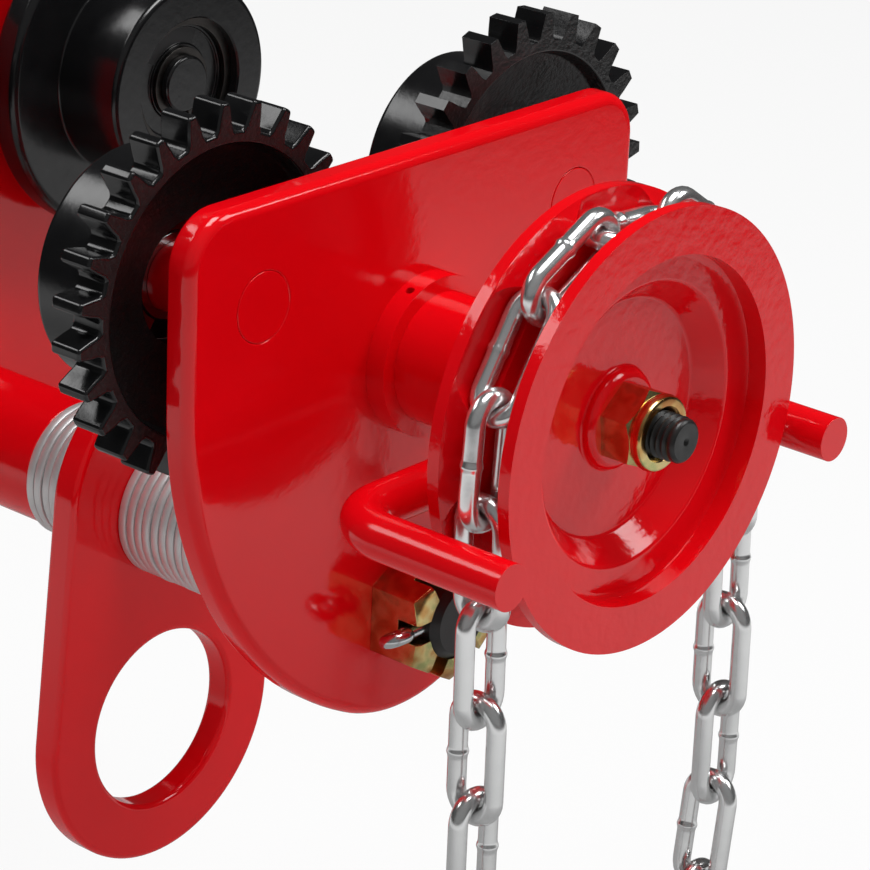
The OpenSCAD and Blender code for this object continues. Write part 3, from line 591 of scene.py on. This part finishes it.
link = bmesh.new()
bmesh.ops.create_circle(link, cap_ends=False, segments=24, radius=WIRE_R * MM,
                        matrix=Matrix.Translation(Vector((-STRAIGHT, BEND_R, 0)) * MM)
                        @ Matrix.Rotation(math.pi / 2, 4, "Y"))
ring = list(link.edges)
for x, swell in [(-STRAIGHT / 2, 1.0), *WELD, (STRAIGHT / 2, 1.0), (STRAIGHT, 1.0)]:
    ring = grow_ring(link, ring, along_straight(x, swell))
for end in (1, -1):
    bend = bmesh.ops.spin(link, geom=ring, cent=Vector((end * STRAIGHT, 0, 0)) * MM,
                          axis=(0, 0, 1), dvec=(0, 0, 0), angle=-math.pi, steps=16,
                          use_merge=False, use_normal_flip=False,
                          use_duplicate=False)["geom_last"]
    ring = [item for item in bend if isinstance(item, bmesh.types.BMEdge)]
    if end == 1:
        ring = grow_ring(link, ring, lambda at: (-STRAIGHT, at.y, at.z))
bmesh.ops.remove_doubles(link, verts=link.verts, dist=SEAM)
link_mesh = bpy.data.meshes.new("link")
link.to_mesh(link_mesh)
link.free()


def islands(shape):
    """The separate closed shells of a shape, each as the points of its vertices."""
    found = set()
    for first in shape.verts:
        if first in found:
            continue
        found.add(first)
        shell = [first]
        for vert in shell:
            for other in (edge.other_vert(vert) for edge in vert.link_edges):
                if other not in found:
                    found.add(other)
                    shell.append(other)
        yield [vert.co.copy() for vert in shell]


def link_place(points):
    """Where a link lies: its middle and its long, wide and thin directions, from its surface."""
    middle = sum(points, Vector()) / len(points)
    spread_x = sum((p.x - middle.x) ** 2 for p in points)
    spread_z = sum((p.z - middle.z) ** 2 for p in points)
    spread_xz = sum((p.x - middle.x) * (p.z - middle.z) for p in points)
    slant = 0.5 * math.atan2(2 * spread_xz, spread_x - spread_z)
    long = Vector((math.cos(slant), 0, math.sin(slant)))
    across = Vector((-long.z, 0, long.x))
    y = [p.y for p in points]
    lying = max(y) - min(y) > 3 * WIRE_R * MM
    beam_side = Vector(ACROSS_BEAM)
    wide, thin = (beam_side, across) if lying else (across, -beam_side)
    centre = Vector()
    for direction in (long, wide, thin):
        reach = [p.dot(direction) for p in points]
        centre += direction * (max(reach) + min(reach)) / 2
    return Matrix.Translation(centre) @ Matrix((long, wide, thin)).transposed().to_4x4()


for part in ("on_wheel", "left_strand", "right_strand", "loop"):
    node = "hand_chain_" + part
    chain = bmesh.new()
    for points in islands(node_shape(node)):
        known = len(chain.verts)
        chain.from_mesh(link_mesh)
        chain.verts.ensure_lookup_table()
        bmesh.ops.transform(chain, matrix=link_place(points), verts=chain.verts[known:])
    fit_piece(chain, "chain_links_" + part, "frame", [node], "chain_zinc", chain_zinc)


# Studio. A pale floor below the hanging chain, soft light from all round and three soft
# boxes. The camera sees plain white. Gloss and metal mirror the floor's glow, a ring of
# painted light with painted shade in its middle under the trolley, the soft boxes, and
# behind them a dark room with one pale wall.
def seen_by(start, *rays):
    """1 for the rays of these kinds, 0 for all others."""
    seen = start.node("ShaderNodeLightPath", output=rays[0])
    for ray in rays[1:]:
        seen = seen.math("MAXIMUM", seen, start.node("ShaderNodeLightPath", output=ray))
    return seen


VIEW, MIRROR = ("Is Camera Ray", "Is Transmission Ray"), ("Is Glossy Ray",)
FLOOR_Z, FLOOR_SIZE, PALE_GREY = -0.25, 8.0, (0.8, 0.8, 0.8, 1)
# The share of plain white in what the camera sees of the floor. The rest shows its shadow.
WHITE_SHARE = 0.85
# How bright the floor's painted glow is in mirrors, and how far out from the middle it gets
# so and ends. Near the middle it keeps only a share of that, as painted shade under the trolley.
FLOOR_BRIGHT, SHADED_MIDDLE_SHARE = 0.8, 0.42
BRIGHTENS, DARKENS = (0.35, 0.65), (0.85, 1.3)
TENT_LIGHT, DARK_STUDIO = 0.3, 0.035
PALE_WALL, WALL_EDGE, WALL_LIGHT = (-0.72, -0.65, 0.25), (0.2, 0.9), 0.16
floor_finish, shader, start = new_finish("floor")
nodes, links = floor_finish.node_tree.nodes, floor_finish.node_tree.links
nodes.remove(shader)
pale = start.node("ShaderNodeBsdfDiffuse", inputs={"Color": PALE_GREY}, output="BSDF")
in_view, mirrored = seen_by(start, *VIEW), seen_by(start, *MIRROR)
away = start.node("ShaderNodeVectorMath", {"operation": "LENGTH"},
                  {0: start.node("ShaderNodeTexCoord", output="Object")}, output="Value")
# A glowing ring of painted light on the floor, with painted shade in its middle under the
# trolley.
lit = ((SHADED_MIDDLE_SHARE + (1 - SHADED_MIDDLE_SHARE) * away.within(*BRIGHTENS))
       * (1 - away.within(*DARKENS)))
lit = DARK_STUDIO + (FLOOR_BRIGHT - DARK_STUDIO) * lit
white = start.node("ShaderNodeEmission",
                   inputs={"Strength": start.math("MAXIMUM", in_view, lit)}, output="Emission")
shown = start.node("ShaderNodeMixShader",
                   inputs={0: WHITE_SHARE * in_view + mirrored, 1: pale, 2: white})
links.new(shown.socket, nodes["Material Output"].inputs["Surface"])
slab = bmesh.new()
bmesh.ops.create_grid(slab, x_segments=1, y_segments=1, size=FLOOR_SIZE / 2,
                      matrix=Matrix.Translation((0, 0, FLOOR_Z)))
floor_mesh = bpy.data.meshes.new("floor")
slab.to_mesh(floor_mesh)
slab.free()
floor_mesh.materials.append(floor_finish)
floor = bpy.data.objects.new("floor", floor_mesh)
bpy.context.scene.collection.objects.link(floor)
floor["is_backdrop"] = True

world = bpy.data.worlds.new("light_tent")
world.use_nodes = True
start = Value(world.node_tree)
towards = start.node("ShaderNodeVectorMath", {"operation": "DOT_PRODUCT"},
                     {0: start.node("ShaderNodeTexCoord", output="Generated"), 1: PALE_WALL},
                     output="Value")
room = DARK_STUDIO + WALL_LIGHT * towards.within(*WALL_EDGE)
strength = (TENT_LIGHT + (1 - TENT_LIGHT) * seen_by(start, *VIEW)
            + (room - TENT_LIGHT) * seen_by(start, *MIRROR))
tent = world.node_tree.nodes["Background"]
tent.inputs["Color"].default_value = (1, 1, 1, 1)
world.node_tree.links.new(strength.socket, tent.inputs["Strength"])
bpy.context.scene.world = world


TROLLEY_MIDDLE = Vector((0, -0.08, 0))


def soft_box(name, place, width, height, power):
    """A rectangular lamp that faces the trolley's middle."""
    light = bpy.data.lights.new(name, "AREA")
    light.shape, light.size, light.size_y, light.energy = "RECTANGLE", width, height, power
    lamp = bpy.data.objects.new(name, light)
    lamp.location = place
    lamp.rotation_mode = "QUATERNION"
    lamp.rotation_quaternion = (TROLLEY_MIDDLE - Vector(place)).to_track_quat("-Z", "Y")
    bpy.context.scene.collection.objects.link(lamp)


soft_box("top_box", (0.1, -0.35, 1.5), width=0.7, height=0.7, power=17.0)
soft_box("front_box", (0.8, -0.9, 1.0), width=0.5, height=0.5, power=6.5)
soft_box("back_box", (-0.55, 1.0, 1.2), width=1.1, height=0.35, power=6.0)


# Camera. It looks down on the drive's side from the left with a long lens.
camera = bpy.data.objects.new("camera", bpy.data.cameras.new("camera"))
camera.data.lens, camera.data.sensor_width = 145.85, 36.0
camera.data.clip_start, camera.data.clip_end = 0.05, 50.0
place = Vector((-653.9, -644.0, 328.6)) * MM
right, up = Vector((0.6511, -0.7578, 0.0418)), Vector((0.2615, 0.2757, 0.9250))
facing = Matrix((right, up, right.cross(up))).transposed().to_4x4()
camera.matrix_world = Matrix.Translation(place) @ facing
bpy.context.scene.collection.objects.link(camera)
bpy.context.scene.camera = camera
bpy.context.scene.view_settings.view_transform = "Standard"

low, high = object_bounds()
